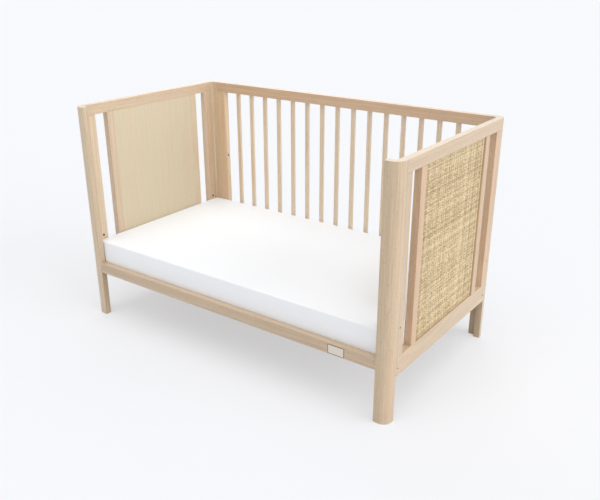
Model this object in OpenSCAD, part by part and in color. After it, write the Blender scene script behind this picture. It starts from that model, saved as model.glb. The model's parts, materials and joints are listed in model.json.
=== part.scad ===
// Convertible baby crib with its open front: four L-section corner posts, two end
// frames with rattan panels, a slatted back, a low front rail, a slatted base and
// a mattress. X runs along the bed, the open front faces -Y, +Z is up, and the
// origin is on the floor at the centre of the footprint. Sizes are in millimetres.

/* [Mattress] */
// Length of the mattress
mattress_l = 1320; // [1200:10:1400]
// Width of the mattress
mattress_w = 700; // [640:10:760]
// Thickness of the mattress
mattress_t = 100; // [80:5:130]
// Radius of the upright corners of the mattress
mattress_corner_r = 12; // [6:2:40]
// Gap between the mattress and each end frame
mattress_gap_end = 5; // [3:1:15]
// Gap between the mattress and the front rail, and between it and the back
mattress_gap_side = 1.5; // [1:0.5:8]

/* [Frame stock] */
// Thickness of the wood in the posts, the end frames and the back
stock_t = 25; // [22:1:30]
// Radius of the rounded long edges of every bar
edge_r = 1.5; // [1:0.5:3]
// Height of the top rails
top_rail_h = 40; // [34:1:60]
// Height of the bottom rails
bottom_rail_h = 69; // [60:1:90]
// Height of the bottom rails' underside above the floor
bottom_rail_z = 161; // [140:1:170]

/* [Corner posts] */
// Height of the corner posts
post_h = 852; // [780:4:960]
// Width of a post's leg along the bed
post_leg_x = 52; // [46:1:70]
// Width of a post's leg across the bed
post_leg_y = 42; // [40:1:60]
// Radius inside the bend of a post
post_bend_r = 7; // [5:1:10]
// Chamfer round the outside of a post's foot
foot_chamfer = 2.5; // [1:0.5:4]

/* [End frames] */
// Width of the outer stiles, beside the posts
outer_stile_w = 33; // [28:1:45]
// Width of the open slots between the stiles
slot_w = 57; // [45:1:65]
// Width of the inner stiles, beside the panel
inner_stile_w = 32; // [28:1:45]
// Thickness of the veneered board
board_t = 15; // [12:1:16]
// Depth of the board's inner face behind the frame's inner face
board_recess = 1; // [0.5:0.5:3]
// Thickness of the tongue round the board
tongue_t = 6; // [4:1:7]
// Depth of the groove that holds the tongue
groove_depth = 8; // [5:1:9]
// Thickness of the woven rattan sheet
rattan_t = 3.5; // [2:0.5:4]

/* [Back panel] */
// Width of the stiles at the ends of the back
back_stile_w = 45; // [38:1:60]
// Number of slats in the back
slat_count = 15; // [12:1:18]
// Width of a slat
slat_w = 18; // [14:1:22]
// Thickness of a slat
slat_t = 10; // [8:1:12]
// Gap between a back stile and the first slat
slat_end_gap = 63; // [45:1:65]
// Depth to which a slat's ends are let into the rails
slat_housing = 12; // [8:1:18]

/* [Front rail] */
// Thickness of the front rail
front_rail_t = 26; // [22:1:30]
// Height of the front rail
front_rail_h = 40; // [34:1:60]
// Height of the front rail's underside above the floor
front_rail_z = 189; // [180:1:230]
// Depth of the rail's front face behind the posts
front_rail_setback = 1; // [0:0.5:3]

/* [Mattress base] */
// Height of the base bolts above the floor, in the lower position
base_bolt_z = 188; // [182:1:200]
// Rise from the lower to the upper position of the base
base_step = 142; // [100:1:200]
// Distance of the base bolts from the outer face of the nearest post, across the bed
base_bolt_inset = 52.5; // [50:0.5:66]
// Height of the base's rails
base_rail_h = 35; // [30:1:45]
// Thickness of the base's rails
base_rail_t = 22; // [18:1:30]
// Depth of the notch that hooks over a bolt
base_notch_depth = 20; // [15:1:22]
// Distance from the base's edge to its long rails
bearer_inset = 45; // [38:1:90]
// Number of cross slats in the base
base_slat_count = 9; // [7:1:9]
// Width of a cross slat
base_slat_w = 95; // [70:5:110]
// Thickness of a cross slat
base_slat_t = 12; // [9:1:18]

/* [Fasteners] */
// Radius of the bolts' shanks
bolt_r = 3; // [2.5:0.5:4]
// Radius of a panel bolt's cap head
cap_r = 4.9; // [4.5:0.1:6]
// Height of a panel bolt's cap head
cap_h = 6; // [4:0.5:8]
// Radius of a base bolt's flange
flange_r = 6.5; // [6:0.5:8]
// Outer radius of a threaded insert
insert_r = 5; // [4.5:0.5:6]
// Length of a threaded insert
insert_l = 13; // [10:1:15]
// Height of the lower bolt in each end of the back
panel_bolt_low_z = 270; // [250:5:300]
// Height of the upper bolt in each end of the back
panel_bolt_high_z = 526; // [450:5:600]
// Length of a panel bolt inside the post
panel_bolt_reach = 25; // [18:1:28]
// Radius of the cam discs in the front rail
cam_r = 7.5; // [6:0.5:9]
// Depth of the cam discs
cam_l = 17; // [16.5:0.5:19]
// Distance of the cams from the ends of the front rail
cam_inset = 24; // [20:1:34]

/* [Joinery] */
// Thickness of the tenons
tenon_t = 8; // [6:1:10]
// Width of the shoulder on each side of a tenon
tenon_shoulder = 10; // [9.5:0.5:12]
// Length of the tenons that join the end rails to the posts
rail_tenon_l = 24; // [15:1:26]
// Length of the tenons that join the stiles to the rails
stile_tenon_l = 15; // [10:1:20]

/* [Clearances] */
// Glue line between pieces that are joined for good
glue_gap = 0.1; // [0.05:0.05:0.2]
// Gap between pieces that are bolted together
bolted_gap = 0.2; // [0.1:0.1:0.5]
// Running gap round the shank of a bolt in wood
bolt_gap = 0.5; // [0.3:0.1:0.8]
// Gap between a bolt and the base that hangs on it, and under the mattress
rest_gap = 0.3; // [0.2:0.1:0.5]
// Gap between the base and the end frames
base_gap_end = 1.5; // [1:0.5:3]
// Gap between the base and the front rail, and between it and the back
base_gap_side = 6; // [5:0.5:12]

/* [Hidden] */
$fn = 48;
// How far a cut runs past the face that it opens
past = 1;

// Outside of the frame: the mattress, its gaps and what stands round it
inside_l = mattress_l + 2 * mattress_gap_end;
inside_w = mattress_w + 2 * mattress_gap_side;
frame_l = inside_l + 2 * stock_t;
frame_w = inside_w + stock_t + front_rail_t + front_rail_setback;
half_l = frame_l / 2;
half_w = frame_w / 2;
front_in_y = -half_w + front_rail_setback + front_rail_t;
back_in_y = half_w - stock_t;

// Levels
top_rail_z = post_h - top_rail_h;
bottom_rail_top = bottom_rail_z + bottom_rail_h;
base_rail_z = base_bolt_z - base_notch_depth;
base_slat_z = base_rail_z + base_rail_h + glue_gap;
mattress_z = base_slat_z + base_slat_t + rest_gap;
upper_bolt_z = base_bolt_z + base_step;

// Posts and end frames
bend_outer_r = stock_t + post_bend_r;
rail_half_w = half_w - post_leg_y;
slot_outer_y = rail_half_w - outer_stile_w;
slot_inner_y = slot_outer_y - slot_w;
panel_half_w = slot_inner_y - inner_stile_w;
board_out_x = -half_l + stock_t - board_recess - board_t;
tongue_x = board_out_x + (board_t - tongue_t) / 2;
base_bolt_y = half_w - base_bolt_inset;

// Back panel
back_half_l = half_l - post_leg_x;
back_opening = 2 * (back_half_l - back_stile_w);
slat_pitch = (back_opening - slat_w - 2 * slat_end_gap) / (slat_count - 1);
back_mid_y = half_w - stock_t / 2;
panel_bolt_zs = [panel_bolt_low_z, panel_bolt_high_z];
cap_sunk = 1;
cap_recess = cap_h + cap_sunk;
panel_bolt_l = back_stile_w - cap_recess + panel_bolt_reach;

// Front rail
front_mid_y = -half_w + front_rail_setback + front_rail_t / 2;
front_mid_z = front_rail_z + front_rail_h / 2;
cam_x = -back_half_l + cam_inset;
cam_step = 0.5;
cam_head_r = bolt_r + cam_step;
cam_screw_r = bolt_r - cam_step;
cam_screw_l = 11;
cam_slot_l = 10;
cam_slot_w = 1.6;
cam_slot_depth = 2;

// Base
base_half_l = inside_l / 2 - base_gap_end;
base_front_y = front_in_y + base_gap_side;
base_back_y = back_in_y - base_gap_side;
base_w = base_back_y - base_front_y;
base_rail_in_x = -base_half_l + base_rail_t;
base_slat_pitch = (2 * base_half_l - base_slat_w) / (base_slat_count - 1);

// Bolts: the flange and button of a base bolt, the sockets and the room at the tips
flange_t = 1.5;
flange_rim = 1.5;
button_r = flange_r - flange_rim;
button_h = 3;
socket_r = 0.75 * bolt_r;
socket_depth = 2;
tip_gap = 3;

// Colours
post_wood = "Tan";
rail_wood = "BurlyWood";
stile_wood = "Wheat";
slat_wood = "BurlyWood";
veneer = "NavajoWhite";
cane = "Goldenrod";
base_wood = "PaleGoldenrod";
bronze = "SaddleBrown";
cloth = "WhiteSmoke";

// ---------- Shared shapes ----------

// A rectangle with rounded corners, its lower left corner at the origin
module rounded_rect(w, h, r) {
    translate([r, 0]) square([w - 2 * r, h]);
    translate([0, r]) square([w, h - 2 * r]);
    for (x = [r, w - r], y = [r, h - r])
        translate([x, y]) circle(r = r);
}

// Bars with four rounded long edges, from the lowest corner of their box
module bar_along_x(size) {
    rotate([90, 0, 90]) linear_extrude(size[0]) rounded_rect(size[1], size[2], edge_r);
}

module bar_along_y(size) {
    translate([0, size[1], 0]) rotate([90, 0, 0])
        linear_extrude(size[1]) rounded_rect(size[0], size[2], edge_r);
}

module bar_along_z(size) {
    linear_extrude(size[2]) rounded_rect(size[0], size[1], edge_r);
}

// A round hole or shank along +X, from x = 0
module rod_x(r, l) {
    rotate([0, 90, 0]) cylinder(r = r, h = l);
}

// The left end and the front are drawn, and these turn them into their opposites
module for_end(side) {
    mirror([side == "right" ? 1 : 0, 0, 0]) children();
}

module for_face(face) {
    mirror([0, face == "back" ? 1 : 0, 0]) children();
}

// ---------- Corner posts ----------

// One leg of the section, from the end of the bend to its rounded edge
module post_leg(width) {
    run = width - bend_outer_r;
    translate([bend_outer_r, 0]) square([run - edge_r, stock_t]);
    translate([bend_outer_r, edge_r]) square([run, stock_t - 2 * edge_r]);
    for (y = [edge_r, stock_t - edge_r])
        translate([width - edge_r, y]) circle(r = edge_r);
}

// L-section of even thickness with a rounded corner, its outer corner at the origin
module post_section() {
    intersection() {
        translate([bend_outer_r, bend_outer_r]) difference() {
            circle(r = bend_outer_r, $fn = 96);
            circle(r = post_bend_r);
        }
        square(bend_outer_r);
    }
    post_leg(post_leg_x);
    mirror([1, -1]) post_leg(post_leg_y);
}

// Wedge along X that chamfers a lower edge at the origin, on a face that looks to -Y
module chamfer_wedge(l) {
    rotate([90, 0, 90]) linear_extrude(l)
        polygon([[-past, -past], [foot_chamfer + past, -past], [-past, foot_chamfer + past]]);
}

// The same round the outside of the bend, which is a quarter of a ring
module bend_wedge() {
    translate([bend_outer_r, bend_outer_r, 0]) intersection() {
        rotate_extrude($fn = 96) polygon([
            [bend_outer_r + past, -past],
            [bend_outer_r - foot_chamfer - past, -past],
            [bend_outer_r + past, foot_chamfer + past]
        ]);
        translate(-(bend_outer_r + 2 * past) * [1, 1, 0] - [0, 0, 2 * past])
            cube(bend_outer_r + 2 * past);
    }
}

// The same along the face and the end of one leg
module leg_wedges(width) {
    translate([bend_outer_r, 0, 0]) chamfer_wedge(width - bend_outer_r + past);
    translate([width, -past, 0]) mirror([1, 0, 0]) mirror([1, -1, 0])
        chamfer_wedge(stock_t + 2 * past);
}

module foot_cuts() {
    bend_wedge();
    leg_wedges(post_leg_x);
    mirror([1, -1, 0]) leg_wedges(post_leg_y);
}

// Mortise in the post's cross leg for the tenon of an end rail
module rail_mortise(z, rail_h) {
    translate([
        -half_l + (stock_t - tenon_t) / 2 - glue_gap,
        -rail_half_w - rail_tenon_l - glue_gap,
        z + tenon_shoulder - glue_gap
    ])
        cube([
            tenon_t + 2 * glue_gap,
            rail_tenon_l + past,
            rail_h - 2 * tenon_shoulder + 2 * glue_gap
        ]);
}

module corner_post(side, face) {
    color(post_wood)
    for_end(side) for_face(face)
    difference() {
        translate([-half_l, -half_w, 0]) linear_extrude(post_h) post_section();
        translate([-half_l, -half_w, 0]) foot_cuts();
        rail_mortise(top_rail_z, top_rail_h);
        rail_mortise(bottom_rail_z, bottom_rail_h);
        if (face == "front") cam_screw_hole();
        if (face == "back") for (z = panel_bolt_zs) panel_bolt_socket(z);
    }
}

// Hole in the edge of a front post for the screw of a cam bolt
module cam_screw_hole() {
    translate([-back_half_l - cam_screw_l - past, front_mid_y, front_mid_z])
        rod_x(cam_screw_r + glue_gap, cam_screw_l + 2 * past);
}

// Stepped hole in the edge of a back post: the insert, then the bolt's tip
module panel_bolt_socket(z) {
    translate([-back_half_l, -back_mid_y, z]) {
        translate([-insert_l - glue_gap, 0, 0]) rod_x(insert_r + glue_gap, insert_l + past);
        translate([-panel_bolt_reach - tip_gap, 0, 0])
            rod_x(bolt_r + bolt_gap, panel_bolt_reach + tip_gap);
    }
}

// ---------- End frames ----------

module end_rail(side, z, rail_h, stiles_above) {
    tenon_h = rail_h - 2 * tenon_shoulder;
    edge_z = stiles_above ? z + rail_h : z;
    color(rail_wood)
    for_end(side)
    difference() {
        union() {
            translate([-half_l, -rail_half_w + glue_gap, z])
                bar_along_y([stock_t, 2 * (rail_half_w - glue_gap), rail_h]);
            for (face = ["front", "back"]) for_face(face)
                translate([
                    -half_l + (stock_t - tenon_t) / 2,
                    -rail_half_w - rail_tenon_l,
                    z + tenon_shoulder
                ])
                    cube([tenon_t, rail_tenon_l + past, tenon_h]);
        }
        for (face = ["front", "back"]) for_face(face) {
            stile_mortise(slot_outer_y, outer_stile_w, edge_z, stiles_above);
            stile_mortise(panel_half_w, inner_stile_w, edge_z, stiles_above);
            if (stiles_above) base_bolt_hole(base_bolt_z);
        }
        translate([
            tongue_x - glue_gap,
            -panel_half_w - groove_depth,
            edge_z - (stiles_above ? groove_depth : past)
        ])
            cube([
                tongue_t + 2 * glue_gap,
                2 * (panel_half_w + groove_depth),
                groove_depth + past
            ]);
    }
}

// Mortise in a rail for the stile whose inner edge is at y, going down or up from z
module stile_mortise(y, stile_w, z, down) {
    depth = stile_tenon_l + glue_gap;
    translate([
        -half_l + (stock_t - tenon_t) / 2 - glue_gap,
        -y - stile_w + tenon_shoulder - glue_gap,
        down ? z - depth : z - past
    ])
        cube([
            tenon_t + 2 * glue_gap,
            stile_w - 2 * tenon_shoulder + 2 * glue_gap,
            depth + past
        ]);
}

// Through hole for a base bolt, with the wider seat of its insert on the inside
module base_bolt_hole(z) {
    translate([-half_l - past, -base_bolt_y, z]) rod_x(bolt_r + bolt_gap, stock_t + 2 * past);
    translate([-half_l + stock_t - insert_l - glue_gap, -base_bolt_y, z])
        rod_x(insert_r + glue_gap, insert_l + past);
}

// A stile with a tenon at each end, its inner edge at y
module stile(y, stile_w) {
    z0 = bottom_rail_top + glue_gap;
    z1 = top_rail_z - glue_gap;
    translate([-half_l, -y - stile_w, z0]) bar_along_z([stock_t, stile_w, z1 - z0]);
    translate([
        -half_l + (stock_t - tenon_t) / 2,
        -y - stile_w + tenon_shoulder,
        bottom_rail_top - stile_tenon_l
    ])
        cube([
            tenon_t,
            stile_w - 2 * tenon_shoulder,
            top_rail_z - bottom_rail_top + 2 * stile_tenon_l
        ]);
}

module outer_stile(side, face) {
    color(stile_wood)
    for_end(side) for_face(face)
    difference() {
        stile(slot_outer_y, outer_stile_w);
        base_bolt_hole(upper_bolt_z);
    }
}

module inner_stile(side, face) {
    color(stile_wood)
    for_end(side) for_face(face)
    difference() {
        stile(panel_half_w, inner_stile_w);
        translate([tongue_x - glue_gap, -panel_half_w - groove_depth, bottom_rail_z])
            cube([tongue_t + 2 * glue_gap, groove_depth + past, post_h - bottom_rail_z]);
    }
}

// Veneered board with a tongue all round that sits in the grooves
module veneer_board(side) {
    reach = groove_depth - rest_gap;
    face_w = 2 * (panel_half_w - glue_gap);
    face_h = top_rail_z - bottom_rail_top - 2 * glue_gap;
    color(veneer)
    for_end(side) {
        translate([board_out_x, -face_w / 2, bottom_rail_top + glue_gap])
            cube([board_t, face_w, face_h]);
        translate([tongue_x, -panel_half_w - reach, bottom_rail_top - reach])
            cube([
                tongue_t,
                2 * (panel_half_w + reach),
                top_rail_z - bottom_rail_top + 2 * reach
            ]);
    }
}

// Woven sheet bonded to the outside of the board
module rattan_sheet(side) {
    color(cane)
    for_end(side)
    translate([
        board_out_x - glue_gap - rattan_t,
        -panel_half_w + glue_gap,
        bottom_rail_top + glue_gap
    ])
        cube([
            rattan_t,
            2 * (panel_half_w - glue_gap),
            top_rail_z - bottom_rail_top - 2 * glue_gap
        ]);
}

// ---------- Back panel ----------

// X of the middle of a slat, counted from the left
function slat_x(i) = (i - (slat_count + 1) / 2) * slat_pitch;

module back_rail(z, rail_h, stiles_above) {
    edge_z = stiles_above ? z + rail_h : z;
    color(rail_wood)
    difference() {
        translate([-back_half_l + bolted_gap, back_in_y, z])
            bar_along_x([2 * (back_half_l - bolted_gap), stock_t, rail_h]);
        for (i = [1 : slat_count])
            slat_mortise(slat_x(i), edge_z, stiles_above);
        for (side = ["left", "right"]) for_end(side)
            back_stile_mortise(edge_z, stiles_above);
    }
}

module slat_mortise(x, z, down) {
    depth = slat_housing + glue_gap;
    translate([
        x - slat_w / 2 - glue_gap,
        back_mid_y - slat_t / 2 - glue_gap,
        down ? z - depth : z - past
    ])
        cube([slat_w + 2 * glue_gap, slat_t + 2 * glue_gap, depth + past]);
}

module back_stile_mortise(z, down) {
    depth = stile_tenon_l + glue_gap;
    translate([
        -back_half_l + tenon_shoulder - glue_gap,
        back_mid_y - tenon_t / 2 - glue_gap,
        down ? z - depth : z - past
    ])
        cube([
            back_stile_w - 2 * tenon_shoulder + 2 * glue_gap,
            tenon_t + 2 * glue_gap,
            depth + past
        ]);
}

module back_stile(side) {
    z0 = bottom_rail_top + glue_gap;
    z1 = top_rail_z - glue_gap;
    color(stile_wood)
    for_end(side)
    difference() {
        union() {
            translate([-back_half_l + bolted_gap, back_in_y, z0])
                bar_along_z([back_stile_w - bolted_gap, stock_t, z1 - z0]);
            translate([
                -back_half_l + tenon_shoulder,
                back_mid_y - tenon_t / 2,
                bottom_rail_top - stile_tenon_l
            ])
                cube([
                    back_stile_w - 2 * tenon_shoulder,
                    tenon_t,
                    top_rail_z - bottom_rail_top + 2 * stile_tenon_l
                ]);
        }
        for (z = panel_bolt_zs) translate([-back_half_l, back_mid_y, z]) {
            rod_x(bolt_r + bolt_gap, back_stile_w);
            translate([back_stile_w - cap_recess, 0, 0])
                rod_x(cap_r + bolt_gap, cap_recess + past);
        }
    }
}

module back_slat(i) {
    color(slat_wood)
    translate([
        slat_x(i) - slat_w / 2,
        back_mid_y - slat_t / 2,
        bottom_rail_top - slat_housing
    ])
        bar_along_z([slat_w, slat_t, top_rail_z - bottom_rail_top + 2 * slat_housing]);
}

// ---------- Front rail and its hidden cams ----------

module front_rail() {
    color(rail_wood)
    difference() {
        translate([-back_half_l + bolted_gap, -half_w + front_rail_setback, front_rail_z])
            bar_along_x([2 * (back_half_l - bolted_gap), front_rail_t, front_rail_h]);
        for (side = ["left", "right"]) for_end(side) {
            translate([-back_half_l - past, front_mid_y, front_mid_z])
                rod_x(cam_head_r + glue_gap, cam_inset + past);
            translate([cam_x, front_in_y + past, front_mid_z]) rotate([90, 0, 0])
                cylinder(r = cam_r + glue_gap, h = cam_l + glue_gap + past);
        }
    }
}

// Cam discs, each with a driver slot and a hole that takes the bolt's head
module front_cams() {
    color(bronze)
    for (side = ["left", "right"]) for_end(side)
    difference() {
        translate([cam_x, front_in_y, front_mid_z]) rotate([90, 0, 0])
            cylinder(r = cam_r, h = cam_l);
        translate([cam_x - cam_r - past, front_mid_y, front_mid_z])
            rod_x(cam_head_r + glue_gap, cam_r + past + cam_head_r);
        translate([cam_x - cam_slot_l / 2, front_in_y - cam_slot_depth, front_mid_z - cam_slot_w / 2])
            cube([cam_slot_l, cam_slot_depth + past, cam_slot_w]);
    }
}

// Cam bolts: a screw in the post, a shank in the rail and a head in the cam
module front_cam_bolts() {
    neck_l = cam_inset - cam_head_r;
    color(bronze)
    for (side = ["left", "right"]) for_end(side)
    translate([-back_half_l, front_mid_y, front_mid_z]) {
        translate([-cam_screw_l, 0, 0]) rod_x(cam_screw_r, cam_screw_l);
        rod_x(bolt_r, neck_l);
        translate([neck_l, 0, 0]) rod_x(cam_head_r, cam_head_r);
    }
}

// ---------- Mattress base ----------

// End rail of the base, notched from below to hook over two bolts
module base_end_rail(side) {
    notch_r = bolt_r + bolt_gap;
    color(base_wood)
    for_end(side)
    difference() {
        translate([-base_half_l, base_front_y, base_rail_z])
            bar_along_y([base_rail_t, base_w, base_rail_h]);
        for (y = [-base_bolt_y, base_bolt_y])
            translate([-base_half_l - past, y, base_bolt_z + rest_gap - bolt_gap]) {
                rod_x(notch_r, base_rail_t + 2 * past);
                translate([0, -notch_r, -base_notch_depth - past])
                    cube([base_rail_t + 2 * past, 2 * notch_r, base_notch_depth + past]);
            }
    }
}

// Long rail of the base, butted between the end rails
module base_bearer(face) {
    y = face == "front" ? base_front_y + bearer_inset : base_back_y - bearer_inset - base_rail_t;
    color(base_wood)
    translate([base_rail_in_x + glue_gap, y, base_rail_z])
        bar_along_x([-2 * (base_rail_in_x + glue_gap), base_rail_t, base_rail_h]);
}

module base_slat(i) {
    color(base_wood)
    translate([-base_half_l + (i - 1) * base_slat_pitch, base_front_y, base_slat_z])
        bar_along_y([base_slat_w, base_w, base_slat_t]);
}

// ---------- Mattress ----------

module mattress() {
    color(cloth)
    translate([-mattress_l / 2, front_in_y + mattress_gap_side, mattress_z])
        linear_extrude(mattress_t) rounded_rect(mattress_l, mattress_w, mattress_corner_r);
}

// ---------- Fasteners ----------

// Flanged button-head bolt along -X, its flange's underside at x = 0
module base_bolt() {
    shank_l = base_rail_t + base_gap_end + insert_l + tip_gap;
    difference() {
        union() {
            translate([-shank_l, 0, 0]) rod_x(bolt_r, shank_l + flange_t);
            rod_x(flange_r, flange_t);
            translate([flange_t, 0, 0]) rod_x(button_r, button_h);
        }
        translate([flange_t + button_h - socket_depth, 0, 0]) hex_socket();
    }
}

// Hexagon socket for a driver
module hex_socket() {
    rotate([0, 90, 0]) cylinder(r = socket_r, h = socket_depth + past, $fn = 6);
}

module base_bolts() {
    color(bronze)
    for (side = ["left", "right"], face = ["front", "back"]) for_end(side) for_face(face)
        translate([base_rail_in_x + rest_gap, -base_bolt_y, base_bolt_z]) base_bolt();
}

// Cap-head bolts that hold the back between the posts
module panel_bolts() {
    color(bronze)
    for (side = ["left", "right"], z = panel_bolt_zs) for_end(side)
    translate([-back_half_l + back_stile_w - cap_recess + glue_gap, back_mid_y, z])
    difference() {
        union() {
            translate([-panel_bolt_l, 0, 0]) rod_x(bolt_r, panel_bolt_l + cap_h / 2);
            rod_x(cap_r, cap_h);
        }
        translate([cap_h - socket_depth, 0, 0]) hex_socket();
    }
}

// Threaded insert along -X from its mouth at x = 0
module insert() {
    translate([-insert_l, 0, 0])
    difference() {
        rod_x(insert_r, insert_l);
        translate([-past, 0, 0]) rod_x(bolt_r + glue_gap, insert_l + 2 * past);
    }
}

// Inserts for the base in both positions, and for the back's bolts
module threaded_inserts() {
    color(bronze)
    for (side = ["left", "right"]) for_end(side) {
        for (face = ["front", "back"], z = [base_bolt_z, upper_bolt_z]) for_face(face)
            translate([-half_l + stock_t, -base_bolt_y, z]) insert();
        for (z = panel_bolt_zs)
            translate([-back_half_l, back_mid_y, z]) insert();
    }
}

// ---------- Assembly ----------

corner_post("left", "front");  // left_front_post
corner_post("left", "back");  // left_back_post
corner_post("right", "front");  // right_front_post
corner_post("right", "back");  // right_back_post

for (side = ["left", "right"]) {
    end_rail(side, top_rail_z, top_rail_h, false);
    end_rail(side, bottom_rail_z, bottom_rail_h, true);
    for (face = ["front", "back"]) {
        outer_stile(side, face);
        inner_stile(side, face);
    }
    veneer_board(side);
    rattan_sheet(side);
    back_stile(side);
    base_end_rail(side);
}

back_rail(top_rail_z, top_rail_h, false);  // back_top_rail
back_rail(bottom_rail_z, bottom_rail_h, true);  // back_bottom_rail
for (i = [1 : slat_count])
    back_slat(i);

front_rail();
front_cams();
front_cam_bolts();

base_bearer("front");  // base_front_bearer
base_bearer("back");  // base_back_bearer
for (i = [1 : base_slat_count])
    base_slat(i);

mattress();
base_bolts();
panel_bolts();
threaded_inserts();
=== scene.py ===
# %% [markdown]
# # A baby crib in pale beech, woven rattan and white cotton
# The joiner's work is done already: posts, rails, stiles, slats and bolts come in at their real
# size and stay where they are. What is left is the finisher's work. This lesson sets up a
# studio, grows grain in every piece of wood, weaves the rattan strand by strand, sews a cover
# round the mattress and puts a small plate on the front rail. Everything is in metres, +Z is up,
# the bed's length runs along X and its open front faces -Y.

# %% Load the crib
import json
import math
import random

import bmesh
import bpy
from mathutils import Euler, Matrix, Vector, noise

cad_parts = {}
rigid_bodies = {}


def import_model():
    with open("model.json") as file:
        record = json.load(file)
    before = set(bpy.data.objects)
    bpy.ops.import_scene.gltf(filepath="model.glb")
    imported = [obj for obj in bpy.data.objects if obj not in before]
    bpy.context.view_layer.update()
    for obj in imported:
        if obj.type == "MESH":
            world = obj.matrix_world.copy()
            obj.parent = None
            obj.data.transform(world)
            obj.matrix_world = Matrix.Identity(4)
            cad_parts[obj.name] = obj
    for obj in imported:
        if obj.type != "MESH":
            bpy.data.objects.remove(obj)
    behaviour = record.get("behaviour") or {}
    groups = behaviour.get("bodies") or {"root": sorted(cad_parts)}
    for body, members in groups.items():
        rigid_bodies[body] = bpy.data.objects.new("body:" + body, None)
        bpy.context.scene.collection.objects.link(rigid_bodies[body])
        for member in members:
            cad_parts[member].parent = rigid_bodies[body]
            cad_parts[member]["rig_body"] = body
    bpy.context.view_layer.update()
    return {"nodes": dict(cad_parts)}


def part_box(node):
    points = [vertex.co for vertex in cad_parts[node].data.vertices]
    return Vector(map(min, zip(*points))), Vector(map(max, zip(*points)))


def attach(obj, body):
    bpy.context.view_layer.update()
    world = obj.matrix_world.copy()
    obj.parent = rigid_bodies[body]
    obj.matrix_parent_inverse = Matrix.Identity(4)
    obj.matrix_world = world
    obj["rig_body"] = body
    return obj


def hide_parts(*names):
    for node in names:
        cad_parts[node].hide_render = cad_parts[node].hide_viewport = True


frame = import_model()
nodes = frame["nodes"]
scene = bpy.context.scene
MM = 0.001

# %% [markdown]
# ## Where the eye stands
# A crib is shown from about the height of a standing adult's chest, turned so that the open
# front and one rattan end are both in view. A camera is placed by where it stands and by three
# turns, in the order that a tripod makes them: the pan round the upright, the tilt, and the roll
# that is left. The sensor is shifted a little, as a view camera's is, instead of tilting
# further. The sensor's width and the focal length are in millimetres, and each shift is a share
# of that width.

# %% The camera
EYE = Vector((1.5864, -2.0647, 1.3616))
PAN = math.radians(36.33)
TILT = math.radians(22.84)
ROLL = math.radians(-0.16)
LEVEL = math.radians(90)
SENSOR_W = 36
FOCAL_LENGTH = 43.38
SHIFT_RIGHT = 0.0036
SHIFT_UP = 0.0195

lens = bpy.data.cameras.new("camera")
lens.sensor_width = SENSOR_W
lens.lens = FOCAL_LENGTH
lens.shift_x = SHIFT_RIGHT
lens.shift_y = SHIFT_UP
camera = bpy.data.objects.new("camera", lens)
aim = Matrix.Rotation(PAN, 4, "Z") @ Matrix.Rotation(LEVEL - TILT, 4, "X")
camera.matrix_world = Matrix.Translation(EYE) @ aim @ Matrix.Rotation(ROLL, 4, "Z")
scene.collection.objects.link(camera)
scene.camera = camera
print("camera looks along", [round(c, 2) for c in aim @ Vector((0, 0, -1))])

# %% [markdown]
# ## A way to write materials
# A material is a small program made of nodes. Wiring hundreds of them by hand is slow to read,
# so the maths is written as plain Python instead. `Signal` wraps a node's output socket, and
# each arithmetic sign between signals adds a Math node.


# %% Signals that add up
class Signal:
    """The output of a node, which can be added, scaled and divided like a number."""

    def __init__(self, finish, socket):
        self.finish = finish
        self.socket = socket

    def __add__(self, other):
        return self.finish.math("ADD", self, other)

    def __radd__(self, other):
        return self.finish.math("ADD", other, self)

    def __sub__(self, other):
        return self.finish.math("SUBTRACT", self, other)

    def __rsub__(self, other):
        return self.finish.math("SUBTRACT", other, self)

    def __mul__(self, other):
        return self.finish.math("MULTIPLY", self, other)

    def __rmul__(self, other):
        return self.finish.math("MULTIPLY", other, self)

    def __truediv__(self, other):
        return self.finish.math("DIVIDE", self, other)

    def __rtruediv__(self, other):
        return self.finish.math("DIVIDE", other, self)

    def __abs__(self):
        return self.finish.math("ABSOLUTE", self)


# %% [markdown]
# `Finish` is one material, or the world, while it is being mixed. Every node comes from one
# method, `Finish.node`, which takes the node's type, its settings, and what goes in its sockets:
# a number, a colour or another node's signal.


# %% One material being mixed
class Finish:
    """A node tree, and the one method that adds nodes to it."""

    def __init__(self, owner):
        owner.use_nodes = True
        self.owner = owner
        self.tree = owner.node_tree
        self.tree.nodes.clear()

    def node(self, kind, settings=None, inputs=None, output=0):
        """Adds a node, and gives one of its outputs as a signal."""
        made = self.tree.nodes.new(kind)
        for name, value in (settings or {}).items():
            setattr(made, name, value)
        for key, value in (inputs or {}).items():
            socket = self.socket(made.inputs, key)
            if isinstance(value, Signal):
                self.tree.links.new(value.socket, socket)
            else:
                socket.default_value = value
        return Signal(self, self.socket(made.outputs, output)) if made.outputs else None

    def socket(self, sockets, key):
        """A socket by its number, or by its name if the node shows it."""
        if isinstance(key, int):
            return sockets[key]
        return next(s for s in sockets if s.enabled and s.name == key)

    def math(self, operation, first, second=0.0):
        """Adds a Math node."""
        return self.node("ShaderNodeMath", {"operation": operation}, {0: first, 1: second})


# %% [markdown]
# All the finishes below share a few short words. The first ones say where a point lies on the
# piece and which way its face looks, and take a vector apart.


# %% Where a point lies
def place(finish):
    """Where a point lies on the resting crib: it rides with the piece when the piece moves."""
    return finish.node("ShaderNodeTexCoord", output="Object")


def facing(finish):
    """The way a face looks, in the piece's own space."""
    return finish.node("ShaderNodeTexCoord", output="Normal")


def axes(finish, vector):
    """The three parts of a vector, each as a signal."""
    split = finish.node("ShaderNodeSeparateXYZ", inputs={"Vector": vector}).socket.node
    return [Signal(finish, socket) for socket in split.outputs]


# %% [markdown]
# `ramp` turns a range of values into a soft step, `grains` is noise stretched along each axis,
# and `blend` mixes two colours. `rgb` writes a colour down. Its curve is the standard one
# between the levels that a screen is sent and the light that it gives.


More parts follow.
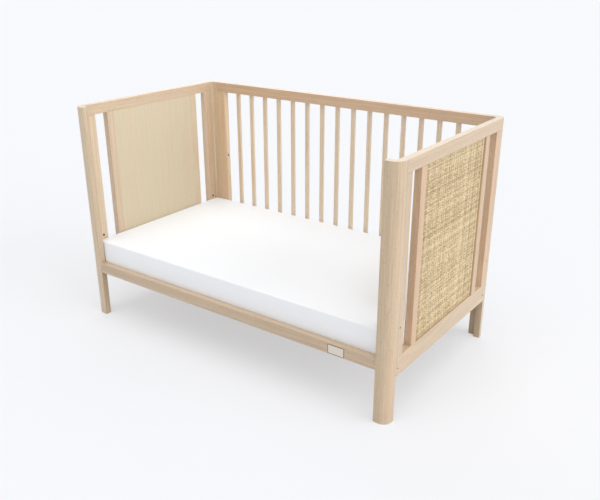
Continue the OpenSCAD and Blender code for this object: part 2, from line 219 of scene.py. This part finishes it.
# %% Steps, noise and colours
def ramp(finish, value, low, high):
    """A soft step that climbs from 0 to 1 while the value goes from low to high."""
    return finish.node(
        "ShaderNodeMapRange",
        {"interpolation_type": "SMOOTHSTEP"},
        {"Value": value, "From Min": low, "From Max": high},
    )


def grains(finish, vector, counts, detail=2.0, roughness=0.5):
    """Noise from 0 to 1 with so many grains in a metre along each axis."""
    scaled = finish.node(
        "ShaderNodeVectorMath", {"operation": "MULTIPLY"}, {0: vector, 1: counts}
    )
    return finish.node(
        "ShaderNodeTexNoise",
        {"noise_dimensions": "3D"},
        {"Vector": scaled, "Scale": 1.0, "Detail": detail, "Roughness": roughness},
    )


def blend(finish, factor, first, second):
    """One colour over another."""
    return finish.node(
        "ShaderNodeMix",
        {"data_type": "RGBA"},
        {"Factor": factor, "A": first, "B": second},
        "Result",
    )


def rgb(red, green, blue):
    """A colour as a paint chart gives it, 0 to 255, turned into the linear light of a shader."""
    def linear(level):
        level = level / 255
        return level / 12.92 if level <= 0.04045 else ((level + 0.055) / 1.055) ** 2.4
    return (linear(red), linear(green), linear(blue), 1.0)


print("half-way grey is", round(rgb(128, 128, 128)[0], 3), "of white in linear light")

# %% [markdown]
# The last two words close a material. `bumps` makes small relief out of a pattern, and `skin` is
# the surface that takes colour, gloss and bumps.


# %% Relief and surface
def bumps(finish, height, depth, strength):
    """Small relief: the height goes from 0 to 1, and the depth is its size in metres."""
    return finish.node(
        "ShaderNodeBump", inputs={"Strength": strength, "Distance": depth, "Height": height}
    )


def skin(finish, settings):
    """Closes a material with its surface, and gives the finished material."""
    surface = finish.node("ShaderNodeBsdfPrincipled", inputs=settings)
    finish.node("ShaderNodeOutputMaterial", inputs={"Surface": surface})
    return finish.owner


# %% [markdown]
# ## The studio
# The floor is pale and seems to have no end, so the ground melts into the wall behind. In a
# studio a sheet of paper that curves up the wall does that, and here one large plane does it.
# `new_piece` turns what a bmesh has modelled into an object, and every new piece of this lesson
# passes through it.

# %% The floor
FLOOR_REACH = 40.0


def new_piece(name, bm):
    """An object in the scene with the bmesh's shape. The bmesh is used up."""
    mesh = bpy.data.meshes.new(name)
    bm.to_mesh(mesh)
    bm.free()
    piece = bpy.data.objects.new(name, mesh)
    scene.collection.objects.link(piece)
    return piece


ground = bmesh.new()
bmesh.ops.create_grid(ground, x_segments=1, y_segments=1, size=FLOOR_REACH)
floor = new_piece("floor", ground)
print("the floor reaches", FLOOR_REACH, "m each way")

# %% [markdown]
# Paper in a bright room never gets really dark under a bed, because the whole room lights it.
# The floor is a matt surface, and for the camera alone part of it is plain paper white. What is
# left of the matt surface holds the crib's shadow.

# %% Paper on the floor
PAPER = rgb(248, 248, 250)
MATT_PAPER = rgb(229, 231, 235)
SHADOW_KEPT = 0.48

paper = Finish(bpy.data.materials.new("studio_paper"))
matt = paper.node("ShaderNodeBsdfDiffuse", inputs={"Color": MATT_PAPER})
glow = paper.node("ShaderNodeEmission", inputs={"Color": PAPER, "Strength": 1.0})
seen = paper.node("ShaderNodeLightPath", output="Is Camera Ray")
sheet = paper.node(
    "ShaderNodeMixShader", inputs={0: seen * (1 - SHADOW_KEPT), 1: matt, 2: glow}
)
paper.node("ShaderNodeOutputMaterial", inputs={"Surface": sheet})
floor.data.materials.append(paper.owner)
print("the floor keeps", SHADOW_KEPT, "of its shadows")

# %% [markdown]
# The room is a white world without walls. The camera and all rays that are mirrored or pass
# through see it as white as the paper. The light that it sends on to the crib is much dimmer,
# and comes evenly from all sides.

# %% The white room
ROOM_LIGHT = 0.36

room = Finish(bpy.data.worlds.new("white_room"))
rays = room.node("ShaderNodeLightPath").socket.node.outputs
looked_at = Signal(room, rays["Is Camera Ray"]) + Signal(room, rays["Is Glossy Ray"])
looked_at = looked_at + Signal(room, rays["Is Transmission Ray"])
shown = room.math("MINIMUM", looked_at, 1.0)
even_light = (ROOM_LIGHT, ROOM_LIGHT, ROOM_LIGHT, 1.0)
colour = blend(room, shown, even_light, PAPER)
air = room.node("ShaderNodeBackground", inputs={"Color": colour, "Strength": 1.0})
room.node("ShaderNodeOutputWorld", inputs={"Surface": air})
scene.world = room.owner
print("the room gives", ROOM_LIGHT, "of full light")

# %% [markdown]
# Four soft lamps stand far off. Two do most of the work: one high above, and one low beyond the
# right end, which gives the wood its light and dark sides. A weak one in front fills the shade,
# and another behind the left end lights what looks away. A lamp's level is the light that it
# throws on a white sheet held square to it. All the lamps and the room together give a sheet
# that lies flat only a little more than one unit of light, so the white cover keeps its tone.
# The Standard view then shows each colour as it was written.


# %% The lamps
def soft_lamp(name, level, height, bearing, spread):
    """A far lamp, placed in degrees: bearing 0 is +X, 90 is +Y. Gives its light on a flat sheet."""
    light = bpy.data.lights.new(name, "SUN")
    light.energy = level * math.pi
    light.angle = math.radians(spread)
    lamp = bpy.data.objects.new(name, light)
    up, turn = math.radians(height), math.radians(bearing)
    out = math.cos(up)
    towards = Vector((out * math.cos(turn), out * math.sin(turn), math.sin(up)))
    lamp.rotation_euler = towards.to_track_quat("Z", "Y").to_euler()
    scene.collection.objects.link(lamp)
    return level * math.sin(up)


falls_flat = ROOM_LIGHT
falls_flat += soft_lamp("top", level=0.52, height=80, bearing=-50, spread=60)
falls_flat += soft_lamp("front", level=0.19, height=35, bearing=-80, spread=70)
falls_flat += soft_lamp("side", level=0.67, height=12, bearing=9, spread=60)
falls_flat += soft_lamp("back", level=0.13, height=28, bearing=126, spread=40)
scene.view_settings.view_transform = "Standard"
print("light on a flat sheet:", round(falls_flat, 2))

# %% [markdown]
# ## Beech
# The frame is pale beech under a matt varnish. Beech has quiet grain: broad soft bands where the
# saw cuts the year rings, fine fibres along the wood, and tiny darker flecks where the rays show.
# A picture of wood would repeat from piece to piece. Instead each piece is cut, in the shader,
# from its own place in an imaginary trunk. The trunk stands along the piece's longest side, its
# rings are distances from the pith, and slow noise bends them, so that a flat-sawn face gets
# arches and a quarter-sawn face gets lines, as in a real board.

# %% The trunk
LAY_ALONG = {
    "x": (0.0, -math.pi / 2, 0.0),
    "y": (math.pi / 2, 0.0, 0.0),
    "z": (0.0, 0.0, 0.0),
}
TRUNK_LENGTH = 20


def longest_side(node):
    """The axis along which a piece of wood is cut, and so the way its grain runs."""
    low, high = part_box(node)
    sides = high - low
    return "xyz"[max(range(3), key=lambda axis: sides[axis])]


def where_cut(node, pith):
    """A place in the trunk for one piece: pith is how far from the middle it was sawn."""
    draw = random.Random(node)
    low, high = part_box(node)
    angle = draw.uniform(0, 2 * math.pi)
    middle = Euler(LAY_ALONG[longest_side(node)]).to_matrix() @ ((low + high) / 2)
    spot = (pith * math.cos(angle), pith * math.sin(angle), draw.uniform(0, TRUNK_LENGTH))
    return Vector(spot) - middle


def trunk(finish, grain, cut):
    """A point's place in the trunk, whose pith is the Z axis; cut is where the piece lies in it."""
    return finish.node(
        "ShaderNodeMapping",
        {"vector_type": "POINT"},
        {"Vector": place(finish), "Location": cut, "Rotation": LAY_ALONG[grain]},
    )


print("the front rail's grain runs along", longest_side("front_rail"))

# %% [markdown]
# `year_rings` goes from 0, early wood, to 1, late wood. Most of it is one-dimensional noise read
# along the distance from the pith: some years are wide and pale, others narrow and dark. The
# rest is a line at the end of every year, where the autumn wood darkens slowly and stops at
# once. `fibres` are long thin noise, and `flecks` keep only the peaks of a shorter one.

# %% Rings, fibres and flecks
RING = 7 * MM
BEND = 50 * MM
BENDS_PER_M = (7, 7, 1.1)
AUTUMN_SHARE = 0.25
FIBRES_PER_M = (260, 260, 5)
FLECKS_PER_M = (420, 420, 95)


def year_rings(finish, spot):
    """Bands of early and late wood, a ring's width apart, bent by slow noise."""
    slow = grains(finish, spot, BENDS_PER_M, detail=1.0)
    across, up = axes(finish, spot)[:2]
    pith = finish.math("SQRT", across * across + up * up)
    years = (pith + (slow - 0.5) * BEND) / RING
    wide = finish.node(
        "ShaderNodeTexNoise",
        {"noise_dimensions": "1D"},
        {"W": years, "Scale": 1.0, "Detail": 3.0, "Roughness": 0.6},
    )
    autumn = ramp(finish, finish.math("FRACT", years), 0.55, 0.97)
    return ramp(finish, wide, 0.25, 0.75) * (1 - AUTUMN_SHARE) + autumn * AUTUMN_SHARE


def fibres(finish, spot):
    """Long thin fibres, in bundles of a few millimetres that split into finer ones."""
    return grains(finish, spot, FIBRES_PER_M, detail=4.0, roughness=0.7)


def flecks(finish, spot):
    """The short dark rays of beech, on their own."""
    return ramp(finish, grains(finish, spot, FLECKS_PER_M, detail=1.0), 0.6, 0.75)


print("a year is", round(RING / MM), "mm wide")

# %% [markdown]
# ## One finish for all the beech
# The pieces differ in tone, as boards from one stack do, and some also carry painted light and
# shade, so the finish takes the two colours of the early and the late wood. Rings, fibres and
# flecks together say how dark a point is between the two. Some patches blush, as steamed beech
# does. On an end the fibres are cut across and drink more varnish, so the wood there is darker, and
# the way a face looks says which it is.

# %% Beech under varnish
RINGS_SHOW = 0.35
FIBRES_SHOW = 1.2
FLECKS_SHOW = 0.5
DARK_FROM, DARK_TO = -0.35, 0.75
BLUSH = (0.66, 0.45, 0.30, 1.0)
BLUSH_SHOWS = 0.2
BLUSHES_PER_M = (16, 16, 2.2)
END_STAIN = (0.42, 0.29, 0.18, 1.0)
END_SHOWS = 0.5
PORE_DEPTH = 0.15 * MM


def beech(name, grain, cut, early, late):
    """The varnished wood of one piece: its grain, its place in the trunk and its two colours."""
    finish = Finish(bpy.data.materials.new(name))
    spot = trunk(finish, grain, cut)
    bands = year_rings(finish, spot)
    thread = fibres(finish, spot)
    dark = bands * RINGS_SHOW + (thread - 0.5) * FIBRES_SHOW + flecks(finish, spot) * FLECKS_SHOW
    wood = blend(finish, ramp(finish, dark, DARK_FROM, DARK_TO), early, late)
    patch = ramp(finish, grains(finish, spot, BLUSHES_PER_M), 0.45, 0.75)
    wood = blend(finish, patch * BLUSH_SHOWS, wood, BLUSH)
    along_grain = axes(finish, facing(finish))["xyz".index(grain)]
    end = ramp(finish, abs(along_grain), 0.6, 0.9)
    wood = blend(finish, end * END_SHOWS, wood, blend(finish, bands, early, END_STAIN))
    return skin(finish, {
        "Base Color": wood,
        "Roughness": 0.44 + thread * 0.12,
        "Coat Weight": 0.8,
        "Coat Roughness": 0.34,
        "Normal": bumps(finish, thread * 0.7 + bands * 0.3, PORE_DEPTH, 0.5),
    })


# %% [markdown]
# Early and late wood for each kind of piece. The slats come from paler wood, and the base is a
# softwood that nobody sees once the mattress is in. The veneer is cut far from the pith, where
# the rings are nearly flat, and the softwood nearer to it than the beech.

# %% The boards in the stack
STACK = {
    "post_wood": (rgb(206, 185, 156), rgb(177, 151, 120)),
    "rail_wood": (rgb(207, 185, 156), rgb(178, 151, 120)),
    "stile_wood": (rgb(207, 184, 156), rgb(178, 150, 120)),
    "slat_wood": (rgb(226, 208, 182), rgb(195, 171, 142)),
    "base_wood": (rgb(216, 197, 162), rgb(196, 168, 128)),
    "veneer": (rgb(211, 197, 168), rgb(199, 182, 152)),
}
PITH = {"veneer": 0.35, "base_wood": 0.12}
PITH_OF_OTHERS = 0.16


def kind_of(node_name):
    """The material that the joiner gave a piece."""
    return nodes[node_name].material_slots[0].material.name


boards = [node_name for node_name in nodes if kind_of(node_name) in STACK]
print("pieces of wood:", len(boards))

# %% [markdown]
# Some boards have a factor of their own, which scales the red, green and blue of their kind. The
# factors are partly each board's own tone and partly painted light and shade, since the lamps don't
# light every board as the real room did. The front rail is duller. The back's top rail and three
# stiles of the right end are redder, with the painted warm shade of deep slots and corners. The
# left end's top rail, posts and stiles are paler, and so is the back's stile beside them, with
# painted light as if thrown up by the white mattress.

# %% A finish for every board
PLAIN = (1, 1, 1)
# Each factor is partly the board's own tone and partly painted light and shade.
BOARD_TONE_AND_PAINTED_LIGHT = {
    "front_rail": (0.93, 0.93, 0.94),
    "back_top_rail": (1.07, 0.98, 0.93),
    "back_left_stile": (1.18, 1.15, 1.06),
    "left_top_rail": (1.08, 1.09, 1.12),
    "left_front_post": (1.05, 1.07, 1.10),
    "left_back_post": (1.18, 1.20, 1.22),
    "left_back_outer_stile": (1.20, 1.22, 1.24),
    "left_back_inner_stile": (1.20, 1.30, 1.35),
    "left_front_inner_stile": (1.09, 1.13, 1.15),
    "left_front_outer_stile": (1.22, 1.30, 1.35),
    "right_front_inner_stile": (1.03, 0.92, 0.82),
    "right_back_inner_stile": (0.99, 0.93, 0.86),
    "right_back_outer_stile": (1.08, 0.97, 0.88),
}


def with_tone_and_painted_light(colour, shade):
    """A colour as it is on one board, scaled by its factor of own tone and painted light and shade.
    """
    return tuple(part * by for part, by in zip(colour, (*shade, 1.0)))


for board in boards:
    kind = kind_of(board)
    early, late = (with_tone_and_painted_light(colour, BOARD_TONE_AND_PAINTED_LIGHT.get(board, PLAIN)) for colour in STACK[kind])
    cut = where_cut(board, PITH.get(kind, PITH_OF_OTHERS))
    wood = beech(f"beech_{board}", longest_side(board), cut, early, late)
    nodes[board].material_slots[0].material = wood
print("boards with a shade of their own:", len(BOARD_TONE_AND_PAINTED_LIGHT))

# %% [markdown]
# ## Bolts, inserts and cams
# The fasteners are steel with a dark bronze plate. The plating is satin, with a faint cloudy
# patina, so one metal with noise in its roughness does.

# %% Bronze plate
DARK_BRONZE, PALE_BRONZE = rgb(112, 90, 70), rgb(146, 120, 94)
CLOUDS_PER_M = (400, 400, 400)
SATIN_DEPTH = 0.03 * MM

bronze = Finish(bpy.data.materials.new("bronze_plate"))
cloud = grains(bronze, place(bronze), CLOUDS_PER_M, detail=3.0)
skin(bronze, {
    "Base Color": blend(bronze, cloud, DARK_BRONZE, PALE_BRONZE),
    "Metallic": 1.0,
    "Roughness": 0.28 + cloud * 0.2,
    "Normal": bumps(bronze, cloud, SATIN_DEPTH, 0.3),
})
fasteners = [node_name for node_name in nodes if kind_of(node_name) == "bronzed_steel"]
for fastener in fasteners:
    nodes[fastener].material_slots[0].material = bronze.owner
print("groups of fasteners:", len(fasteners))

# %% [markdown]
# ## Woven rattan
# The outside of each end is a close plain weave of rattan peel: every strand goes over one and
# under the next. A flat board with a bump pattern looks printed as soon as the light comes from
# the side, so every strand is a real ribbon here. A ribbon starts as a ring of four corners,
# and a spin that doesn't turn but only moves on carries the ring along, one crossing at a time.
# The ribbon is then copied across the sheet. The strands of a layer are made in a flat space of
# their own, where x runs across them, y stands out and z runs along.


# %% A layer of flat ribbons
STRAND_PITCH = 4.2 * MM
STRAND_HALF_W = 1.85 * MM
STRAND_HALF_T = 0.5 * MM


def ribbon(crossings):
    """A bmesh with one flat ribbon, and a ring of four corners in the middle of each crossing."""
    bm = bmesh.new()
    ring = bmesh.ops.create_circle(bm, segments=4, radius=1.0)["verts"]
    bmesh.ops.scale(bm, vec=(STRAND_HALF_W, STRAND_HALF_T, 1), verts=ring)
    bmesh.ops.translate(bm, vec=(STRAND_PITCH / 2, 0, -STRAND_PITCH / 2), verts=ring)
    bmesh.ops.spin(
        bm, geom=list(bm.edges), cent=(0, 0, 0), axis=(0, 0, 1), angle=0.0,
        dvec=(0, 0, STRAND_PITCH), steps=crossings + 1,
    )
    bmesh.ops.holes_fill(bm, edges=bm.edges, sides=4)
    return bm


def flat_layer(count, crossings):
    """A bmesh with so many ribbons side by side."""
    bm = ribbon(crossings)
    first = [*bm.verts, *bm.edges, *bm.faces]
    for number in range(1, count):
        copied = bmesh.ops.duplicate(bm, geom=first)["geom"]
        points = [part for part in copied if isinstance(part, bmesh.types.BMVert)]
        bmesh.ops.translate(bm, vec=(number * STRAND_PITCH, 0, 0), verts=points)
    return bm


# %% [markdown]
# Weaving lifts or lowers each ring of a ribbon. A layer bound round its edge needs no half
# crossing, so both ends of a ribbon lie flat. Nature isn't even: each strand has its own tone and
# width, and drifts a little to the side. It is painted paler where it comes over a crossing, a
# painted highlight, and darker where it dives under one, a painted shade, and each crossing has a
# small tone of its own. The draw is seeded, so the same cloth comes off the loom each time.

# %% Weaving one layer
LIFT = 0.75 * MM
DRIFT = 0.3 * MM
DRIFTS_PER_M = 14
STRANDS_APART = 3.1
MEAN_TONE, TONE_SPREAD = 0.5, 0.2
# Painted highlight over a crossing and painted shade under it.
CREST_PAINTED_LIGHT_AND_SHADE = 0.25
PATCH_TONE = 0.26
NARROWEST, WIDEST = 0.88, 1.06


def height(strand, crossing, upright):
    """How far a strand stands out where it meets a crossing one: 1 is over it, -1 is under."""
    way = 1 if (strand + crossing) % 2 else -1
    return way if upright else -way


def strands(count, crossings, upright, seed):
    """A bmesh with all the strands of one direction, and their tone with painted light and shade on
    their points.
    """
    draw = random.Random(seed)
    tones = [draw.gauss(MEAN_TONE, TONE_SPREAD) for _ in range(count)]
    widths = [draw.uniform(NARROWEST, WIDEST) for _ in range(count)]
    bm = flat_layer(count, crossings)
    tone_and_painted_light = bm.verts.layers.float.new("tone_and_painted_light")
    for vert in bm.verts:
        number = min(int(vert.co.x / STRAND_PITCH), count - 1)
        middle = (number + 0.5) * STRAND_PITCH
        crossing = math.floor(vert.co.z / STRAND_PITCH)
        crest = height(number, crossing, upright) if 0 <= crossing < crossings else 0
        track = Vector((number * STRANDS_APART + seed, vert.co.z * DRIFTS_PER_M, 0))
        vert.co.x = middle + (vert.co.x - middle) * widths[number] + noise.noise(track) * DRIFT
        vert.co.y += LIFT * crest
        vert.co.z = min(max(vert.co.z, 0), crossings * STRAND_PITCH)
        patch = noise.cell(Vector((number, crossing, seed)))
        # Besides the strand's tone, the crest term paints a highlight over a crossing and a shade
        # under it.
        vert[tone_and_painted_light] = tones[number] + CREST_PAINTED_LIGHT_AND_SHADE * crest + PATCH_TONE * patch
    return bm


# %% [markdown]
# A layer is turned into the crib's axes by a matrix whose columns are where x, y and z of the
# flat space go. On one end that is a mirror image, so the normals are worked out again
# afterwards. Smooth shading then rounds the ribbons.

# %% Hanging a layer on an end
def shade_smooth(piece):
    """Lets light run over a piece's edges as if they were round."""
    for face in piece.data.polygons:
        face.use_smooth = True


def hang(name, bm, columns, corner, body):
    """Puts a layer in its place on the crib as a finished piece."""
    turn = Matrix(columns).transposed().to_4x4()
    bmesh.ops.transform(bm, matrix=Matrix.Translation(corner) @ turn, verts=bm.verts)
    bmesh.ops.recalc_face_normals(bm, faces=bm.faces)
    piece = new_piece(name, bm)
    shade_smooth(piece)
    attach(piece, body)
    return piece


# %% [markdown]
# ## The finish of the rattan
# Rattan peel has a satin rind, gold with paler and browner strands, and fine lines along it. The
# tone of each strand, with the painted highlight over its crossings and the painted shade under
# them, was stored on its points when it was woven, and the shader reads it back.
# Noise that is slow along the strand makes some stretches paler, and quicker noise adds the
# spots where leaves once grew.

# %% Rattan peel
LINES_PER_M = 1500
FADES_PER_M = 240
SPOTS_PER_M = (210, 210, 210)
BROWN_PEEL, GOLD_PEEL = rgb(178, 147, 101), rgb(246, 228, 190)
TONE_AND_PAINTED_LIGHT_SHOWS = 1.2
FADE_SHOWS = 0.6
LINES_SHOW = 0.3
DARKER = 1.17
LINE_DEPTH = 0.12 * MM
STRETCHED = 0.04


def rattan_peel(name, lengthwise):
    """The peel's finish; lengthwise scales noise along the strand, and leaves it be across."""
    finish = Finish(bpy.data.materials.new(name))
    spot = place(finish)
    tone_and_painted_light = finish.node("ShaderNodeAttribute", {"attribute_name": "tone_and_painted_light"}, output="Fac")
    lines = grains(finish, spot, [LINES_PER_M * part for part in lengthwise])
    fade = grains(finish, spot, [FADES_PER_M * part for part in lengthwise], detail=1.0)
    spots = grains(finish, spot, SPOTS_PER_M)
    # The stored value carries the painted highlight and shade of the crossings as well as the tone.
    light = tone_and_painted_light * TONE_AND_PAINTED_LIGHT_SHOWS + fade * FADE_SHOWS + spots + lines * LINES_SHOW - DARKER
    return skin(finish, {
        "Base Color": blend(finish, ramp(finish, light, 0.05, 0.95), BROWN_PEEL, GOLD_PEEL),
        "Roughness": 0.5 + spots * 0.12,
        "Normal": bumps(finish, lines, LINE_DEPTH, 0.6),
    })


UPRIGHT_PEEL = rattan_peel("rattan_upright", (1, 1, STRETCHED))
LEVEL_PEEL = rattan_peel("rattan_level", (1, STRETCHED, 1))
print("peel finishes:", UPRIGHT_PEEL.name, "and", LEVEL_PEEL.name)

# %% [markdown]
# The joiner's sheet says how many strands fit each way, and the rest of its width and height is
# shared between the two edges. Uprights and levels are separate pieces, since each layer has its
# own direction of grain. The plain sheet is hidden.

# %% Weaving both ends
EDGE_ROOM = 0.4 * MM


def woven_end(side, outward, seed):
    """The rattan of one end; outward is the direction that its face looks, along X."""
    sheet_name = f"{side}_rattan_sheet"
    low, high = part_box(sheet_name)
    uprights = int((high.y - low.y - 2 * EDGE_ROOM) / STRAND_PITCH)
    levels = int((high.z - low.z - 2 * EDGE_ROOM) / STRAND_PITCH)
    inset_y = (high.y - low.y - uprights * STRAND_PITCH) / 2
    inset_z = (high.z - low.z - levels * STRAND_PITCH) / 2
    corner = Vector(((low.x + high.x) / 2, low.y + inset_y, low.z + inset_z))
    out = (outward, 0, 0)
    warp = strands(uprights, levels, True, seed)
    weft = strands(levels, uprights, False, seed + 1)
    body = nodes[sheet_name]["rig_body"]
    up = hang(f"{side}_rattan_uprights", warp, ((0, 1, 0), out, (0, 0, 1)), corner, body)
    level = hang(f"{side}_rattan_levels", weft, ((0, 0, 1), out, (0, 1, 0)), corner, body)
    for layer, peel in ((up, UPRIGHT_PEEL), (level, LEVEL_PEEL)):
        layer.data.materials.append(peel)
    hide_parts(sheet_name)
    print(side, "end:", uprights, "x", levels, "strands,", len(up.data.polygons), "faces")


woven_end("left", outward=-1, seed=3)
woven_end("right", outward=1, seed=5)

# %% [markdown]
# ## The mattress
# A crib mattress is a firm foam block in a knitted cotton cover. The cover fills the frame: it
# reaches to a hair's gap from the rails, and stands a little proud of the joiner's plain block
# on top. First the space that the cover may fill is measured.

# %% The space for the cover
FRAME_GAP = 0.3 * MM
PROUD = 3 * MM

cover_low, cover_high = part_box("mattress")
cover_low.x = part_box("left_bottom_rail")[1].x + FRAME_GAP
cover_low.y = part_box("front_rail")[1].y + FRAME_GAP
cover_high.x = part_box("right_bottom_rail")[0].x - FRAME_GAP
cover_high.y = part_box("back_bottom_rail")[0].y - FRAME_GAP
cover_high.z += PROUD
print("space for the cover:", [round(side / MM) for side in cover_high - cover_low], "mm")

# %% [markdown]
# The foam is a box whose upright corners are rounded, and then its rims. The plate on the front
# rail starts the same way, so the box and its rounding are two words of their own.


# %% Boxes with round edges
def block(low, high):
    """A bmesh with one box."""
    bm = bmesh.new()
    bmesh.ops.create_cube(bm, size=1.0)
    bmesh.ops.scale(bm, vec=high - low, verts=bm.verts)
    bmesh.ops.translate(bm, vec=(low + high) / 2, verts=bm.verts)
    return bm


def edges_along(bm, axis):
    """The edges of a box that run along one axis."""
    return [e for e in bm.edges if abs(e.verts[0].co[axis] - e.verts[1].co[axis]) > MM / 2]


def rounded(bm, edges, radius, segments):
    """Bevels some edges round."""
    bmesh.ops.bevel(
        bm, geom=edges, offset=radius, segments=segments,
        profile=0.5, affect="EDGES", material=-1,
    )


# %% [markdown]
# The cover is cut a shade small, so it pulls the foam's edges round and lies flat on the faces.
# The foam starts a little too thin, and a cloth simulation will blow the cover up from inside.
# Cloth needs a net of nearly square cells to bend, so the rounded block is cut into one. Once
# its corners are round, the rims are the only sharp edges that are left.

# %% The foam block
THINNER = 3 * MM
NARROWER = 0.5 * MM
CORNER_R = 12 * MM
RIM_R = 4 * MM
RIM_ANGLE = math.radians(60)
NET = 14 * MM


def netted(bm, low, high):
    """Cuts the faces into nearly square cells."""
    for axis, side in enumerate(high - low):
        across = Vector([float(axis == number) for number in range(3)])
        cells = round(side / NET)
        for cut in range(1, cells):
            bmesh.ops.bisect_plane(
                bm, geom=[*bm.verts, *bm.edges, *bm.faces],
                plane_co=low + across * side * cut / cells, plane_no=across,
            )


inset = Vector((NARROWER, NARROWER, THINNER))
foam_low, foam_high = cover_low + inset, cover_high - inset
foam = block(foam_low, foam_high)
rounded(foam, edges_along(foam, 2), CORNER_R - NARROWER, segments=4)
rims = [edge for edge in foam.edges if edge.calc_face_angle() > RIM_ANGLE]
rounded(foam, rims, RIM_R, segments=3)
netted(foam, foam_low, foam_high)
cover = new_piece("mattress_cover", foam)
print("net:", len(cover.data.vertices), "points")

# %% [markdown]
# The simulation runs for twenty frames with pressure and no gravity. Each point then goes no
# further out than foam would let it, and stays inside the space that the cover may fill. The
# foam also keeps the cover from sinking in, so a point that was pulled in goes back to its place.

# %% Blowing up the cover
FRAMES = 20
PRESSURE = 4.0
TRAVEL = THINNER


def blow_up(piece):
    """Cloth with air inside: the new places of the piece's points."""
    cloth = piece.modifiers.new("cloth", "CLOTH")
    cloth.settings.use_pressure = True
    cloth.settings.uniform_pressure_force = PRESSURE
    cloth.settings.effector_weights.gravity = 0.0
    cloth.settings.quality = 5
    for number in range(1, FRAMES + 1):
        scene.frame_set(number)
    view = bpy.context.evaluated_depsgraph_get()
    moved = [vert.co.copy() for vert in piece.evaluated_get(view).data.vertices]
    piece.modifiers.clear()
    scene.frame_set(1)
    return moved


def held(point, low, high):
    """The nearest place inside a box."""
    return Vector(min(max(c, a), b) for c, a, b in zip(point, low, high))


for vert, target in zip(cover.data.vertices, blow_up(cover)):
    way = target - vert.co
    outward = way.dot(vert.normal) > 0
    way.length = min(way.length, TRAVEL) if outward else 0.0
    vert.co = held(vert.co + way, cover_low, cover_high)
print("cover's top:", round(max(vert.co.z for vert in cover.data.vertices) / MM, 1), "mm up")

# %% [markdown]
# One subdivision takes away the facets of the net, and is made part of the mesh. The cover then
# rides on the mattress body, and the plain block is hidden.

# %% The finished cover
smooth = cover.modifiers.new("smooth", "SUBSURF")
smooth.levels = smooth.render_levels = 1
view = bpy.context.evaluated_depsgraph_get()
fine_net = bpy.data.meshes.new_from_object(cover.evaluated_get(view))
cover.modifiers.clear()
cover.data = fine_net
shade_smooth(cover)
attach(cover, "mattress")
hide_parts("mattress")
print("cover:", len(cover.data.polygons), "faces")

# %% [markdown]
# ## White cotton knit
# The cover is a fine white knit. Rows of small stitches run round the sides and along the top,
# and they are too small for a mesh, so they are bumps: a wave along the rows times a wave across
# them. On the sides the rows are stacked up the height, and on the top across the width.

# %% The knit
STITCH = 1.8 * MM
STITCH_DEPTH = 0.12 * MM
FUZZ_PER_M = (900, 900, 900)
WHITE_YARN, WORN_YARN = rgb(240, 242, 245), rgb(236, 238, 241)


def cotton_knit():
    """The knit's finish: white yarn, its fuzz, and the relief of its stitches."""
    finish = Finish(bpy.data.materials.new("cotton_knit"))
    wave = 2 * math.pi / STITCH
    x, y, z = axes(finish, place(finish))
    flat = ramp(finish, abs(axes(finish, facing(finish))[2]), 0.5, 0.8)
    along = finish.math("SINE", (x + y * (1 - flat)) * wave)
    rows = finish.math("SINE", (z * (1 - flat) + y * flat) * wave)
    loops = along * rows * 0.5 + 0.5
    fuzz = grains(finish, place(finish), FUZZ_PER_M)
    return skin(finish, {
        "Base Color": blend(finish, fuzz * 0.6, WHITE_YARN, WORN_YARN),
        "Roughness": 0.85 + fuzz * 0.1,
        "Normal": bumps(finish, loops * 0.7 + fuzz * 0.3, STITCH_DEPTH, 0.5),
    })


cover.data.materials.append(cotton_knit())
print("stitches in the bed's length:", round((cover_high.x - cover_low.x) / STITCH))

# %% [markdown]
# ## The plate on the front rail
# The front rail carries a small thin plate near its right end. It is bare enamel inside a thin
# bronze rim, with round corners. A block is bevelled at its four short edges, its face is inset
# for the rim, and the field inside is pushed back a little, with a sloping edge. The field takes
# the second material, which is the enamel.

# %% The plate
PLATE = Vector((62, 1.0, 33)) * MM
PLATE_MIDDLE_X = 493.5 * MM
PLATE_DROP = 4.5 * MM
PLATE_CORNER_R = 2 * MM
RIM = 1.6 * MM
SLOPE = 0.2 * MM
FIELD_DEPTH = 0.35 * MM
FIELD_ENAMEL = 1

rail_low, rail_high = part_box("front_rail")
middle_y = rail_low.y - PLATE.y / 2
middle_z = rail_high.z - PLATE_DROP - PLATE.z / 2
middle = Vector((PLATE_MIDDLE_X, middle_y, middle_z))
shape = block(middle - PLATE / 2, middle + PLATE / 2)
rounded(shape, edges_along(shape, 1), PLATE_CORNER_R, segments=4)
front = min(shape.faces, key=lambda face: face.calc_center_median().y)
bmesh.ops.inset_individual(shape, faces=[front], thickness=RIM, depth=0.0)
bmesh.ops.inset_individual(shape, faces=[front], thickness=SLOPE, depth=-FIELD_DEPTH)
front.material_index = FIELD_ENAMEL
plate = new_piece("front_plate", shape)
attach(plate, "frame")
print("plate:", [round(side / MM, 1) for side in PLATE], "mm")

# %% [markdown]
# Enamel is glass on metal. It is smooth and slightly cloudy, so fine noise varies its tone and
# its gloss by a little.

# %% Enamel for the plate
DARK_CREAM, PALE_CREAM = rgb(212, 204, 192), rgb(223, 215, 203)
HAZE_PER_M = (300, 300, 300)
GLAZE_DEPTH = 0.02 * MM

enamel = Finish(bpy.data.materials.new("plate_enamel"))
haze = grains(enamel, place(enamel), HAZE_PER_M)
skin(enamel, {
    "Base Color": blend(enamel, haze, DARK_CREAM, PALE_CREAM),
    "Roughness": 0.35 + haze * 0.15,
    "Normal": bumps(enamel, haze, GLAZE_DEPTH, 0.3),
})
plate.data.materials.append(bronze.owner)
plate.data.materials.append(enamel.owner)
print("plate's finishes:", [material.name for material in plate.data.materials])
